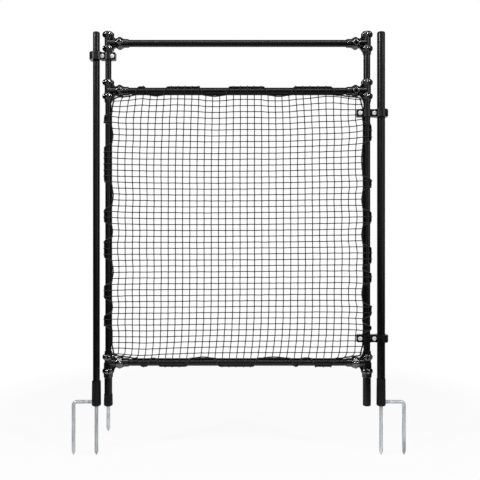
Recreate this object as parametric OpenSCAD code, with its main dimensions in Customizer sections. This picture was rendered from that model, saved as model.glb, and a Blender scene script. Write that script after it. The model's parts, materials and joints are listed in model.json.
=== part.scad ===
// Swing gate for a netting fence: two step-in posts, a tube frame in tee fittings, a net woven
// onto the frame, two hinge clamps and a latch hook.
// Origin: axis of the hinge post at ground level. +X away from the gate, +Y to the back, +Z up.

/* [Posts] */
// Distance between the axes of the two posts
post_spacing = 740; // [500:5:1400]
// Height of the tops of the posts above the ground
post_height = 972; // [700:1:1500]
// Outside diameter of the hinge post
hinge_post_d = 21; // [17:0.5:25]
// Outside diameter of the latch post
latch_post_d = 18; // [14:0.5:20]
// Wall of the post tubes
post_wall = 1.4; // [0.8:0.1:2.5]
// Height of a post cap above its tube
cap_rise = 4.5; // [3:0.5:9]
// Edge radius of a cap
cap_round = 4; // [1:0.5:6]
// Depth of a cap's plug in its tube
cap_plug = 18; // [8:1:30]

/* [Foot sockets] */
// Diameter of a post's foot socket at its foot
socket_d = 24; // [23:0.5:30]
// How much narrower a foot socket is at its top
socket_taper = 0.6; // [0:0.1:1]
// Height of the hinge post's foot socket
hinge_socket_h = 71; // [50:1:100]
// Height of the latch post's foot socket
latch_socket_h = 65; // [50:1:100]
// Solid height under a tube in a foot socket
socket_floor = 26; // [24:1:40]
// Edge radius at the foot of a socket
socket_round = 4.5; // [2:0.5:6]
// Diameter of the foot socket on the latch stile
stile_socket_d = 23; // [22.5:0.5:28]
// Height of the foot socket on the latch stile
stile_socket_h = 31; // [26:1:60]
// Solid height under the tube in the latch stile's socket
stile_socket_floor = 22; // [21:1:24]

/* [Ground spikes] */
// Diameter of the spikes
spike_d = 9.5; // [7:0.5:11]
// Depth of the post spikes in the ground
spike_depth = 127; // [80:1:250]
// Depth of the latch stile's spike in the ground
stile_spike_depth = 66; // [40:1:120]
// Length of a spike's point
spike_point = 8; // [5:0.5:20]
// Length of a spike's grip in its socket
spike_grip = 20; // [17:1:20.5]
// Distance of the step-in spike from its post's axis
step_offset = 59.5; // [45:0.5:120]
// Height of the step-in spike's arm above the ground
step_height = 10.5; // [8:0.5:14]
// Bend radius of the step-in spike at its centreline
step_bend = 9; // [6:0.5:20]

/* [Gate frame] */
// Distance between the axes of the latch post and the latch stile
latch_gap = 31; // [29:0.5:60]
// Distance between the axes of the hinge post and the hinge stile
hinge_gap = 37; // [33:0.5:60]
// Depth from the tops of the posts to the top bar's axis
top_bar_drop = 30; // [24:1:120]
// Distance between the axes of the top bar and the net top bar
net_bar_drop = 124; // [95:1:300]
// Height of the bottom bar's axis
bottom_bar_z = 113; // [85:1:130]
// Outside diameter of the bars
bar_d = 18; // [14:0.5:20]
// Outside diameter of the latch stile
latch_stile_d = 16; // [13:0.5:17]
// Outside diameter of the hinge stile
hinge_stile_d = 18; // [14:0.5:20]
// Outside diameter of the foot tube under the latch stile
latch_foot_d = 20; // [16:0.5:20.5]
// Outside diameter of the foot tube under the hinge stile
hinge_foot_d = 21; // [16:0.5:24]
// Wall of the frame tubes
tube_wall = 1.4; // [0.8:0.1:2.5]

/* [Tee fittings] */
// Wall of a tee round a tube
tee_wall = 1.7; // [1:0.1:3]
// Wall of a tee's arm round a bar
arm_wall = 2; // [1:0.1:3]
// How much wider a sleeve is at its clamp ring than at its mouth
sleeve_flare = 0.8; // [0.2:0.1:1.5]
// Distance from the arm's axis to the clamp ring on the net side of the run
near_ring = 14; // [13:0.5:18]
// Distance from the arm's axis to the clamp ring on the other side of the run
far_ring = 22; // [18:0.5:26]
// Distance from the run's axis to the clamp ring on the arm
arm_ring = 30; // [26:0.5:36]
// Reach of the mouth on the net side of the run
near_reach = 30; // [26:1:36]
// Reach of the upper mouth of the net tees
net_far_reach = 31; // [30:1:45]
// Reach of the lower mouth of the bottom tees
bottom_far_reach = 39; // [32:1:45]
// Height of the closed top of the top tees above the arm's axis
top_dome = 30; // [27:1:40]
// Edge radius of the closed top
dome_round = 4; // [1:0.5:6]
// Reach of the arm
arm_reach = 54; // [44:1:70]
// How far a stop stands inside the bore of the run's tubes
stop_lip = 0.8; // [0.2:0.1:2]
// Half the length of the stop between the tubes of a run
run_stop = 12; // [11:0.5:16]
// Distance of the stop in the arm from the run's axis
arm_stop = 16; // [14:0.5:20]
// Radius of a bead
bead_r = 5; // [4:0.1:5.5]
// Length of a bead along its sleeve, over its width
bead_stretch = 1.25; // [1:0.05:1.4]
// Radius of the circle that the bead centres lie on
bead_circle = 10.3; // [9:0.1:11]
// Beads in a clamp ring
bead_count = 6; // [4:1:8]
// Thickness of the web in a tee's corner
web_t = 7; // [4:0.5:12]
// Length of the web along the arm, from the run's axis
web_arm = 23; // [18:0.5:26]
// Distance from a web's end on the run to the mouth of the sleeve
web_inset = 4; // [2:0.5:8]
// Hollow radius of the web's free edge
web_hollow = 60; // [50:1:200]

/* [Hinge clamps and latch hook] */
// Depth from the net top bar's axis to the upper hinge clamp's centre
upper_clamp_drop = 58; // [58:1:200]
// Height from the bottom bar's axis to the lower hinge clamp's centre
lower_clamp_rise = 63; // [58:1:200]
// Height of a clamp's plates
clamp_h = 20; // [12:0.5:22]
// Wall of a clamp round a stile
clamp_wall = 3.6; // [2:0.1:4]
// Wall of a hinge clamp round the hinge post
ring_wall = 6.4; // [3:0.1:7]
// Distance from the middle of a clamp to the face of its flanges
flange_t = 6.5; // [5.5:0.5:8]
// Distance of a hinge clamp's screws from the stile's axis
clamp_screw = 18.5; // [17:0.5:20]
// Flange length beyond a screw's axis
flange_end = 8.5; // [8:0.5:14]
// Corner radius of the clamp plates
plate_round = 3; // [1:0.5:5]
// Depth from the top bar's axis to the latch hook's centre
hook_drop = 34.5; // [34:0.5:60]
// Distance of the latch hook's outer screw from the latch stile's axis
hook_screw = 11.5; // [11:0.5:16]
// Gap between the latch hook and the post
hook_gap = 1.5; // [1:0.1:3]
// Wall of the hook round the latch post
hook_wall = 7.5; // [3:0.5:9]
// How far the hook's wall reaches behind the latch post's axis
hook_reach = 12; // [6:1:16]

/* [Screws] */
// Diameter of the screws
screw_d = 5; // [4:0.5:5]
// Diameter of the screw heads
screw_head_d = 10.5; // [8:0.5:12]
// Height of the screw heads
screw_head_h = 3.2; // [2:0.1:5]
// Width of the cross recess in a screw head
cross_w = 1.4; // [0.8:0.1:2]
// Depth of the cross recess
cross_depth = 1.6; // [0.8:0.1:2]
// Width across the flats of the nuts
nut_flats = 8; // [7:0.5:9]
// Height of the nuts
nut_h = 4; // [3:0.5:5]

/* [Net] */
// Cells across the net
net_columns = 15; // [6:1:15]
// Cells up the net
net_rows = 19; // [6:1:20]
// Thickness of the net's strands
strand_d = 1.8; // [1:0.1:2.5]
// Diameter of the cord along the net's edge
cord_d = 3.8; // [3:0.1:5]
// Length along a tube in which the cord passes from one side to the other
weave_turn = 14; // [10:1:20]

/* [Fits] */
// Radial gap between a tube and the fitting that it is pushed into
push_fit = 0.1; // [0.05:0.05:0.2]
// Radial gap of the hinge post in its foot socket
turn_fit = 0.08; // [0.02:0.01:0.1]
// Radial gap between the hinge post and the clamps round it
slide_gap = 0.3; // [0.2:0.05:0.6]
// Radial squeeze of a clamp on its stile
clamp_grip = 0.05; // [0.02:0.01:0.1]
// Gap on each side of a strand between a clamp's halves
net_play = 0.1; // [0.05:0.05:0.5]
// How far the edge cord is pulled into the surface of the tubes
cord_pull = 0.25; // [0.2:0.05:0.4]

/* [Hidden] */
$fn = 48;
eps = 0.01;

// Places across the gate
latch_post_x = -post_spacing;
latch_stile_x = latch_post_x + latch_gap;
hinge_stile_x = -hinge_gap;
// Heights of the bars' axes and of the latch hook's centre
top_bar_z = post_height - top_bar_drop;
net_bar_z = top_bar_z - net_bar_drop;
hook_z = top_bar_z - hook_drop;
// Heights of the hinge clamps' centres
upper_clamp_z = net_bar_z - upper_clamp_drop;
lower_clamp_z = bottom_bar_z + lower_clamp_rise;
// The top latch tee's lower mouth ends just above the hook
mouth_gap = 1;
hook_side_reach = hook_drop - clamp_h / 2 - mouth_gap;
// Straight side of a cap below its rounded edge
cap_land = 0.2;
// Radius of a spike's grip and of the small flat at a spike's point
grip_r = spike_d / 2 - 0.25;
point_r = 0.8;
// Where the step-in spike's arm ends beside the straight spike
socket_web = 1.5;
step_start = grip_r + socket_web;
// Chamfer at a sleeve's mouth
mouth_lip = 0.8;
// Turns of the bead rings on the far and the near side of a run and on its arm
upper_phases = [-105, -105, 10];
bottom_phases = [-105, -120, 30];
// Depth of a screw head's seat in its flange, and how far a nut stands out of its flange
head_seat = 1;
nut_proud = 1;
// Radial room round a screw, a screw head, a nut and the edge cord where they pass a clamp
screw_room = 0.25;
head_room = 0.7;
nut_room = 0.2;
cord_room = 0.3;
// Radius of a screw head's dome
head_dome_r = 1.5 * screw_head_d;
// Half the gap between a clamp's halves
half_split = strand_d / 2 + net_play;
// Distances of the edge cord's centreline from the axes of the tubes it is woven round
latch_cord_r = (latch_stile_d + cord_d) / 2 - cord_pull;
hinge_cord_r = (hinge_stile_d + cord_d) / 2 - cord_pull;
bar_cord_r = (bar_d + cord_d) / 2 - cord_pull;
// Clear distance of the cord from the tee fittings, and the steps of its path round them: how
// far it stands off and how far it runs on
cord_clear = 0.8;
corner_ease = 0.5;
corner_run = 4;
sleeve_cord_r = bar_d / 2 + push_fit + arm_wall + sleeve_flare + cord_d / 2 + cord_clear;
bead_cord_r = bead_circle + bead_r + cord_d / 2 + cord_clear;
// Stretches of each side, as shares of its length, where the cord lies on the outer side of
// the tube and the net's edge passes over the front
top_shares = [[0.11, 0.15], [0.22, 0.36], [0.46, 0.61], [0.71, 0.87]];
bottom_shares = [[0.12, 0.16], [0.19, 0.31], [0.42, 0.57], [0.71, 0.74], [0.79, 0.87]];
latch_shares = [[0.13, 0.18], [0.23, 0.29], [0.38, 0.455], [0.51, 0.57], [0.66, 0.80],
    [0.875, 0.912]];
hinge_shares = [[0.115, 0.14], [0.168, 0.215], [0.29, 0.335], [0.36, 0.43], [0.51, 0.56],
    [0.64, 0.68], [0.81, 0.88]];

// ---------------------------------------------------------------- shared shapes

// Round tube along +Z
module tube(d, wall, length) {
    difference() {
        cylinder(d = d, h = length);
        translate([0, 0, -1]) cylinder(d = d - 2 * wall, h = length + 2);
    }
}

// Round tube along +X
module bar(length) {
    rotate([0, 90, 0]) tube(bar_d, tube_wall, length);
}

// Cap for a tube's end: a rounded disc on the tube and a plug inside it, the disc along +Z
module tube_cap(d, wall, rise) {
    edge = min(cap_round, rise - cap_land);
    rotate_extrude() {
        square([d / 2, rise - edge]);
        square([d / 2 - edge, rise]);
        translate([d / 2 - edge, rise - edge]) intersection() {
            circle(edge);
            square(edge);
        }
    }
    translate([0, 0, -cap_plug]) cylinder(d = d - 2 * wall - 2 * push_fit, h = cap_plug + eps);
}

// Moulded foot: a cup for a tube, with a hole for a spike's grip under it
module foot_socket(d, h, floor_h, tube_d, fit) {
    difference() {
        rotate_extrude() {
            polygon([[0, socket_round], [d / 2, socket_round], [d / 2 - socket_taper, h], [0, h]]);
            square([d / 2 - socket_round, socket_round + eps]);
            translate([d / 2 - socket_round, socket_round]) intersection() {
                circle(socket_round);
                translate([0, -socket_round]) square(socket_round);
            }
        }
        translate([0, 0, floor_h]) cylinder(d = tube_d + 2 * fit, h = h);
        translate([0, 0, -1]) cylinder(r = grip_r + push_fit, h = spike_grip + 1);
    }
}

// Foot socket with a side hole for the arm of a step-in spike, on its +X side
module post_socket(h, tube_d, fit) {
    difference() {
        foot_socket(socket_d, h, socket_floor, tube_d, fit);
        translate([step_start, 0, step_height]) rotate([0, 90, 0])
            cylinder(d = spike_d + 2 * push_fit, h = socket_d);
    }
}

// Straight spike, pointing down from the ground level, with its grip above
module spike(depth) {
    translate([0, 0, spike_point - depth]) cylinder(d = spike_d, h = depth - spike_point);
    translate([0, 0, -depth]) cylinder(r1 = point_r, r2 = spike_d / 2, h = spike_point);
    cylinder(r = grip_r, h = spike_grip);
}

// Bent spike that is stepped on: an arm out of the socket along +X and a leg into the ground
module step_spike() {
    bend_x = step_offset - step_bend;
    leg_top = step_height - step_bend;
    translate([step_start, 0, step_height]) rotate([0, 90, 0])
        cylinder(d = spike_d, h = bend_x - step_start);
    translate([bend_x, 0, leg_top]) rotate([90, 0, 0]) rotate_extrude(angle = 90)
        translate([step_bend, 0]) circle(d = spike_d);
    translate([step_offset, 0, spike_point - spike_depth])
        cylinder(d = spike_d, h = leg_top + spike_depth - spike_point);
    translate([step_offset, 0, -spike_depth])
        cylinder(r1 = point_r, r2 = spike_d / 2, h = spike_point);
}

// ---------------------------------------------------------------- tee fittings

// Sleeve of a tee along +Z: straight to the ring, then narrowing to its mouth. A closed one
// ends in a rounded edge.
module sleeve(tube_d, wall, ring, reach, closed = false) {
    body_r = tube_d / 2 + push_fit + wall;
    edge = closed ? dome_round : mouth_lip;
    rotate_extrude() {
        polygon([
            [0, 0], [body_r, 0], [body_r, ring - bead_r / 2], [body_r + sleeve_flare, ring + bead_r / 3],
            [body_r, reach - edge], [body_r - edge, closed ? reach - edge : reach],
            [0, closed ? reach - edge : reach]
        ]);
        if (closed) {
            square([body_r - edge, reach]);
            translate([body_r - edge, reach - edge]) intersection() {
                circle(edge);
                square(edge);
            }
        }
    }
}

// Ring of beads round a sleeve along +Z, rooted in the sleeve's wall and clear of its bore
module bead_ring(tube_d, wall, ring, phase) {
    difference() {
        for (i = [0 : bead_count - 1]) rotate([0, 0, phase + i * 360 / bead_count])
            translate([bead_circle, 0, ring]) scale([1, 1, bead_stretch]) sphere(bead_r);
        translate([0, 0, ring - 2 * bead_r])
            cylinder(r = tube_d / 2 + push_fit + wall / 2, h = 4 * bead_r);
    }
}

// Web in the corner between the arm and one end of the run, with a hollow free edge
module corner_web(run_len) {
    arm_end = [web_arm, bar_d / 2];
    run_end = [bead_circle, run_len];
    edge = run_end - arm_end;
    outward = unit([edge[1], -edge[0]]);
    centre = (arm_end + run_end) / 2 + sqrt(web_hollow * web_hollow - sum_sq(edge) / 4) * outward;
    rotate([90, 0, 0]) translate([0, 0, -web_t / 2]) linear_extrude(web_t) difference() {
        polygon([[0, 0], [web_arm, 0], arm_end, run_end, [0, run_len]]);
        translate(centre) circle(web_hollow, $fn = 2 * $fn);
    }
}

// Hole of a tube's seat along +Z, down to its stop
module tube_seat(tube_d, stop, reach) {
    translate([0, 0, stop]) cylinder(d = tube_d + 2 * push_fit, h = reach);
}

// Tee with its run along Z and its arm along +X. far_len and near_len are the reaches above
// and below the arm, far_d and near_d the tubes there; far_web is the web's length above it.
module tee(far_d, near_d, far_len, near_len, far_web, phases, closed = false) {
    difference() {
        union() {
            sleeve(far_d, tee_wall, far_ring, far_len, closed);
            mirror([0, 0, 1]) sleeve(near_d, tee_wall, near_ring, near_len);
            rotate([0, 90, 0]) sleeve(bar_d, arm_wall, arm_ring, arm_reach);
            bead_ring(far_d, tee_wall, far_ring, phases[0]);
            bead_ring(near_d, tee_wall, -near_ring, phases[1]);
            rotate([0, 90, 0]) bead_ring(bar_d, arm_wall, arm_ring, phases[2]);
            corner_web(far_web);
            mirror([0, 0, 1]) corner_web(near_len - web_inset);
        }
        if (!closed) tube_seat(far_d, run_stop, far_len);
        mirror([0, 0, 1]) tube_seat(near_d, run_stop, near_len);
        rotate([0, 90, 0]) tube_seat(bar_d, arm_stop, arm_reach);
        translate([0, 0, -near_len]) cylinder(d = near_d - 2 * (tube_wall + stop_lip),
            h = near_len + (closed ? 0 : far_len));
        rotate([0, 90, 0]) cylinder(d = bar_d - 2 * tube_wall - stop_lip, h = arm_reach);
    }
}

// ---------------------------------------------------------------- clamps and screws

// Plate outline in the X-Z plane with round corners, pushed through the whole clamp
module plate_block(x0, x1) {
    depth = 2 * (x1 - x0);
    rotate([90, 0, 0]) translate([0, 0, -depth / 2]) linear_extrude(depth) {
        translate([x0 + plate_round, -clamp_h / 2]) square([x1 - x0 - 2 * plate_round, clamp_h]);
        translate([x0, plate_round - clamp_h / 2]) square([x1 - x0, clamp_h - 2 * plate_round]);
        for (x = [x0 + plate_round, x1 - plate_round], z = [-1, 1])
            translate([x, z * (clamp_h / 2 - plate_round)]) circle(plate_round);
    }
}

// Plan of a hinge clamp's front half, before its round holes are cut
module clamp_plan(x0, x1) {
    translate([x0, -flange_t]) square([x1 - x0, flange_t - half_split]);
    intersection() {
        union() {
            translate([hinge_stile_x, 0]) circle(hinge_stile_d / 2 + clamp_wall);
            circle(x1);
        }
        translate([x0, -2 * x1]) square([x1 - x0, 2 * x1 - half_split]);
    }
}

// One half of a hinge clamp, the front one, centred on its own height
module hinge_clamp_half() {
    x0 = hinge_stile_x - clamp_screw - flange_end;
    x1 = hinge_post_d / 2 + slide_gap + ring_wall;
    intersection() {
        translate([0, 0, -clamp_h / 2]) linear_extrude(clamp_h) difference() {
            clamp_plan(x0, x1);
            translate([hinge_stile_x, 0]) circle(hinge_stile_d / 2 - clamp_grip);
            circle(hinge_post_d / 2 + slide_gap);
            translate([hinge_stile_x - hinge_cord_r, 0]) circle(cord_d / 2 + cord_room);
        }
        plate_block(x0, x1);
    }
}

// Holes for screws at the given places
module screw_holes(places) {
    for (x = places) translate([x, 0, 0]) rotate([90, 0, 0])
        translate([0, 0, -2 * flange_t]) cylinder(r = screw_d / 2 + screw_room, h = 4 * flange_t);
}

// Seats for the screw heads in the front of a front half
module head_seats(places) {
    for (x = places) translate([x, head_seat - flange_t, 0]) rotate([90, 0, 0])
        cylinder(r = screw_head_d / 2 + head_room, h = 2 * flange_t);
}

// Hexagonal pockets for the nuts in the back of a back half
module nut_pockets(places) {
    for (x = places) translate([x, flange_t - nut_h + nut_proud, 0]) rotate([-90, 0, 0])
        cylinder(r = (nut_flats / 2 + nut_room) / cos(30), h = flange_t, $fn = 6);
}

// Screws from the front, with a domed head and a cross recess
module screws(places) {
    shank = 2 * flange_t - head_seat + nut_proud;
    for (x = places) translate([x, head_seat - flange_t, 0]) rotate([-90, 0, 0]) {
        cylinder(d = screw_d, h = shank);
        difference() {
            intersection() {
                translate([0, 0, -screw_head_h]) cylinder(d = screw_head_d, h = screw_head_h);
                translate([0, 0, head_dome_r - screw_head_h]) sphere(head_dome_r, $fn = 2 * $fn);
            }
            for (turn = [45, 135]) rotate([0, 0, turn])
                translate([-screw_head_d / 3, -cross_w / 2, -screw_head_h - 1])
                    cube([2 * screw_head_d / 3, cross_w, cross_depth + 1]);
        }
    }
}

module nuts(places) {
    for (x = places) translate([x, flange_t - nut_h + nut_proud, 0]) rotate([-90, 0, 0])
        difference() {
            cylinder(d = nut_flats / cos(30), h = nut_h, $fn = 6);
            translate([0, 0, -1]) cylinder(r = screw_d / 2 + push_fit, h = nut_h + 2);
        }
}

hinge_screw_places = [hinge_stile_x - clamp_screw, hinge_stile_x + clamp_screw];
hook_screw_places = [
    (latch_post_x + latch_post_d / 2 + latch_stile_x - latch_stile_d / 2) / 2,
    latch_stile_x + hook_screw
];

module hinge_clamp_front() {
    difference() {
        hinge_clamp_half();
        screw_holes(hinge_screw_places);
        head_seats(hinge_screw_places);
    }
}

module hinge_clamp_back() {
    difference() {
        mirror([0, 1, 0]) hinge_clamp_half();
        screw_holes(hinge_screw_places);
        nut_pockets(hinge_screw_places);
    }
}

// ---------------------------------------------------------------- edge cord of the net

function sum_sq(v) = v * v;
function unit(v) = v / sqrt(sum_sq(v));

// Stations along a side of the given length: [distance, turn from the inner to the outer side]
turn_steps = 4;
function turn_at(middle, up) = [for (i = [0 : turn_steps])
    let (t = i / turn_steps) [middle + (t - 0.5) * weave_turn, up ? t : 1 - t]];
function side_stations(shares, length) = [for (w = shares)
    each concat(turn_at(w[0] * length, true), turn_at(w[1] * length, false))];

// Cord points along one tube: from start, along dir, with the inner side towards inward
function side_points(start, dir, inward, radius, stations) = [for (s = stations)
    start + s[0] * dir + radius * (cos(180 * s[1]) * inward + sin(180 * s[1]) * [0, -1, 0])];

function reversed(list) = [for (i = [len(list) - 1 : -1 : 0]) list[i]];

// Cord points round the inside of one tee, from the stile to the bar; sx and sz point from
// the corner into the net
function corner_points(x, z, sx, sz, stile_cord_r) = [
    [x + sx * stile_cord_r, 0, z + sz * (near_reach + 4 * corner_run)],
    [x + sx * (sleeve_cord_r + corner_ease), 0, z + sz * (near_reach + corner_run)],
    [x + sx * (bead_cord_r + 3 * corner_ease), 0, z + sz * (near_ring + bead_r + corner_run)],
    [x + sx * (arm_ring - corner_run), 0, z + sz * (bead_cord_r + 2 * corner_ease)],
    [x + sx * (arm_ring + 2 * corner_run), 0, z + sz * (bead_cord_r + corner_ease / 2)],
    [x + sx * arm_reach, 0, z + sz * (sleeve_cord_r + corner_ease)],
    [x + sx * (arm_reach + 2 * corner_run), 0, z + sz * bar_cord_r]
];

net_w = hinge_stile_x - latch_stile_x;
net_h = net_bar_z - bottom_bar_z;
cord_path = concat(
    corner_points(latch_stile_x, bottom_bar_z, 1, 1, latch_cord_r),
    side_points([latch_stile_x, 0, bottom_bar_z], [1, 0, 0], [0, 0, 1], bar_cord_r,
        side_stations(bottom_shares, net_w)),
    reversed(corner_points(hinge_stile_x, bottom_bar_z, -1, 1, hinge_cord_r)),
    side_points([hinge_stile_x, 0, bottom_bar_z], [0, 0, 1], [-1, 0, 0], hinge_cord_r,
        side_stations(hinge_shares, net_h)),
    corner_points(hinge_stile_x, net_bar_z, -1, -1, hinge_cord_r),
    reversed(side_points([latch_stile_x, 0, net_bar_z], [1, 0, 0], [0, 0, -1], bar_cord_r,
        side_stations(top_shares, net_w))),
    reversed(corner_points(latch_stile_x, net_bar_z, 1, -1, latch_cord_r)),
    reversed(side_points([latch_stile_x, 0, bottom_bar_z], [0, 0, 1], [1, 0, 0], latch_cord_r,
        side_stations(latch_shares, net_h)))
);

// Closed tube swept along a loop of points
module loop_tube(path, r, sides) {
    n = len(path);
    rings = [for (i = [0 : n - 1])
        let (along = unit(path[(i + 1) % n] - path[(i + n - 1) % n]),
             across = unit(cross(along, [0, 1, 0])),
             other = cross(across, along))
        for (j = [0 : sides - 1])
            path[i] + r * (cos(360 * j / sides) * across + sin(360 * j / sides) * other)];
    polyhedron(rings, [for (i = [0 : n - 1], j = [0 : sides - 1])
        let (a = i * sides, b = ((i + 1) % n) * sides, k = (j + 1) % sides)
        each [[a + j, a + k, b + k], [a + j, b + k, b + j]]]);
}

// ---------------------------------------------------------------- the posts

module hinge_post_tube() {
    color("#1c1c1e") translate([0, 0, socket_floor])
        tube(hinge_post_d, post_wall, post_height - cap_rise - socket_floor);
}

module hinge_post_cap() {
    color("#161616") translate([0, 0, post_height - cap_rise])
        tube_cap(hinge_post_d, post_wall, cap_rise);
}

module hinge_post_socket() {
    color("#161616") post_socket(hinge_socket_h, hinge_post_d, turn_fit);
}

module hinge_post_spike() {
    color("#a9b1b1") spike(spike_depth);
}

module hinge_post_step_spike() {
    color("#a9b1b1") step_spike();
}

module latch_post_tube() {
    color("#1c1c1e") translate([latch_post_x, 0, socket_floor])
        tube(latch_post_d, post_wall, post_height - cap_rise - socket_floor);
}

module latch_post_cap() {
    color("#161616") translate([latch_post_x, 0, post_height - cap_rise])
        tube_cap(latch_post_d, post_wall, cap_rise);
}

module latch_post_socket() {
    color("#161616") translate([latch_post_x, 0, 0]) mirror([1, 0, 0])
        post_socket(latch_socket_h, latch_post_d, push_fit);
}

module latch_post_spike() {
    color("#a9b1b1") translate([latch_post_x, 0, 0]) spike(spike_depth);
}

module latch_post_step_spike() {
    color("#a9b1b1") translate([latch_post_x, 0, 0]) mirror([1, 0, 0]) step_spike();
}

// ---------------------------------------------------------------- the gate frame

module frame_bar(z) {
    color("#1c1c1e") translate([latch_stile_x + arm_stop, 0, z])
        bar(hinge_stile_x - latch_stile_x - 2 * arm_stop);
}

module stile_tube(x, d, z0, z1) {
    color("#1c1c1e") translate([x, 0, z0 + run_stop]) tube(d, tube_wall, z1 - z0 - 2 * run_stop);
}

module foot_tube(x, d, z0) {
    color("#1c1c1e") translate([x, 0, z0]) tube(d, tube_wall, bottom_bar_z - run_stop - z0);
}

module top_bar() {
    frame_bar(top_bar_z);
}

module net_top_bar() {
    frame_bar(net_bar_z);
}

module bottom_bar() {
    frame_bar(bottom_bar_z);
}

module latch_stile_upper_tube() {
    stile_tube(latch_stile_x, latch_stile_d, net_bar_z, top_bar_z);
}

module latch_stile_main_tube() {
    stile_tube(latch_stile_x, latch_stile_d, bottom_bar_z, net_bar_z);
}

module latch_foot_tube() {
    foot_tube(latch_stile_x, latch_foot_d, stile_socket_floor);
}

module latch_foot_socket() {
    color("#161616") translate([latch_stile_x, 0, 0])
        foot_socket(stile_socket_d, stile_socket_h, stile_socket_floor, latch_foot_d, push_fit);
}

module latch_foot_spike() {
    color("#a9b1b1") translate([latch_stile_x, 0, 0]) spike(stile_spike_depth);
}

module hinge_stile_upper_tube() {
    stile_tube(hinge_stile_x, hinge_stile_d, net_bar_z, top_bar_z);
}

module hinge_stile_main_tube() {
    stile_tube(hinge_stile_x, hinge_stile_d, bottom_bar_z, net_bar_z);
}

module hinge_foot_tube() {
    foot_tube(hinge_stile_x, hinge_foot_d, cap_rise);
}

module hinge_foot_cap() {
    color("#161616") translate([hinge_stile_x, 0, cap_rise]) mirror([0, 0, 1])
        tube_cap(hinge_foot_d, tube_wall, cap_rise);
}

module top_latch_tee() {
    color("#121212") translate([latch_stile_x, 0, top_bar_z])
        tee(latch_stile_d, latch_stile_d, top_dome, hook_side_reach, far_ring, upper_phases,
            closed = true);
}

module top_hinge_tee() {
    color("#121212") translate([hinge_stile_x, 0, top_bar_z]) mirror([1, 0, 0])
        tee(hinge_stile_d, hinge_stile_d, top_dome, near_reach, far_ring, upper_phases, closed = true);
}

module net_latch_tee() {
    color("#121212") translate([latch_stile_x, 0, net_bar_z])
        tee(latch_stile_d, latch_stile_d, net_far_reach, near_reach, far_ring, upper_phases);
}

module net_hinge_tee() {
    color("#121212") translate([hinge_stile_x, 0, net_bar_z]) mirror([1, 0, 0])
        tee(hinge_stile_d, hinge_stile_d, net_far_reach, near_reach, far_ring, upper_phases);
}

module bottom_latch_tee() {
    color("#121212") translate([latch_stile_x, 0, bottom_bar_z]) mirror([0, 0, 1])
        tee(latch_foot_d, latch_stile_d, bottom_far_reach, near_reach, bottom_far_reach - web_inset,
            bottom_phases);
}

module bottom_hinge_tee() {
    color("#121212") translate([hinge_stile_x, 0, bottom_bar_z]) mirror([1, 0, 0]) mirror([0, 0, 1])
        tee(hinge_foot_d, hinge_stile_d, bottom_far_reach, near_reach, bottom_far_reach - web_inset,
            bottom_phases);
}

// ---------------------------------------------------------------- hinge clamps and latch hook

module upper_hinge_clamp_front() {
    color("#101010") translate([0, 0, upper_clamp_z]) hinge_clamp_front();
}

module upper_hinge_clamp_back() {
    color("#101010") translate([0, 0, upper_clamp_z]) hinge_clamp_back();
}

module upper_hinge_clamp_screws() {
    color("#d0d0d0") translate([0, 0, upper_clamp_z]) screws(hinge_screw_places);
}

module upper_hinge_clamp_nuts() {
    color("#d0d0d0") translate([0, 0, upper_clamp_z]) nuts(hinge_screw_places);
}

module lower_hinge_clamp_front() {
    color("#101010") translate([0, 0, lower_clamp_z]) hinge_clamp_front();
}

module lower_hinge_clamp_back() {
    color("#101010") translate([0, 0, lower_clamp_z]) hinge_clamp_back();
}

module lower_hinge_clamp_screws() {
    color("#d0d0d0") translate([0, 0, lower_clamp_z]) screws(hinge_screw_places);
}

module lower_hinge_clamp_nuts() {
    color("#d0d0d0") translate([0, 0, lower_clamp_z]) nuts(hinge_screw_places);
}

// Plan of the latch hook's front half: a flange along the stile and a hook round the post's
// front and outer side, open to the back
module hook_plan() {
    inner_r = latch_post_d / 2 + hook_gap;
    outer_r = inner_r + hook_wall;
    x1 = latch_stile_x + hook_screw + flange_end;
    difference() {
        union() {
            translate([latch_post_x, -flange_t])
                square([x1 - latch_post_x, flange_t - half_split]);
            intersection() {
                translate([latch_stile_x, 0]) circle(latch_stile_d / 2 + clamp_wall);
                translate([latch_post_x, -3 * flange_t])
                    square([x1 - latch_post_x, 3 * flange_t - half_split]);
            }
            intersection() {
                translate([latch_post_x, 0]) circle(outer_r);
                translate([latch_post_x - outer_r, -outer_r])
                    square([2 * outer_r, outer_r + hook_reach]);
            }
        }
        translate([latch_post_x, 0]) circle(inner_r);
        translate([latch_post_x - inner_r, 0]) square([2 * inner_r, 2 * hook_reach]);
        translate([latch_post_x, -half_split]) square([2 * post_spacing, 3 * hook_reach]);
        translate([latch_stile_x, 0]) circle(latch_stile_d / 2 - clamp_grip);
    }
}

module latch_hook_front() {
    x0 = latch_post_x - latch_post_d / 2 - hook_gap - hook_wall;
    x1 = latch_stile_x + hook_screw + flange_end;
    color("#101010") translate([0, 0, hook_z]) difference() {
        intersection() {
            translate([0, 0, -clamp_h / 2]) linear_extrude(clamp_h) hook_plan();
            plate_block(x0, x1);
        }
        screw_holes(hook_screw_places);
        head_seats(hook_screw_places);
    }
}

module latch_hook_back() {
    x0 = latch_post_x + latch_post_d / 2 + hook_gap;
    x1 = latch_stile_x + hook_screw + flange_end;
    color("#101010") translate([0, 0, hook_z]) difference() {
        intersection() {
            translate([0, 0, -clamp_h / 2]) linear_extrude(clamp_h) difference() {
                union() {
                    translate([x0, half_split]) square([x1 - x0, flange_t - half_split]);
                    intersection() {
                        translate([latch_stile_x, 0]) circle(latch_stile_d / 2 + clamp_wall);
                        translate([x0, half_split]) square([x1 - x0, 3 * flange_t]);
                    }
                }
                translate([latch_stile_x, 0]) circle(latch_stile_d / 2 - clamp_grip);
            }
            plate_block(x0, x1);
        }
        screw_holes(hook_screw_places);
        nut_pockets(hook_screw_places);
    }
}

module latch_hook_screws() {
    color("#d0d0d0") translate([0, 0, hook_z]) screws(hook_screw_places);
}

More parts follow.
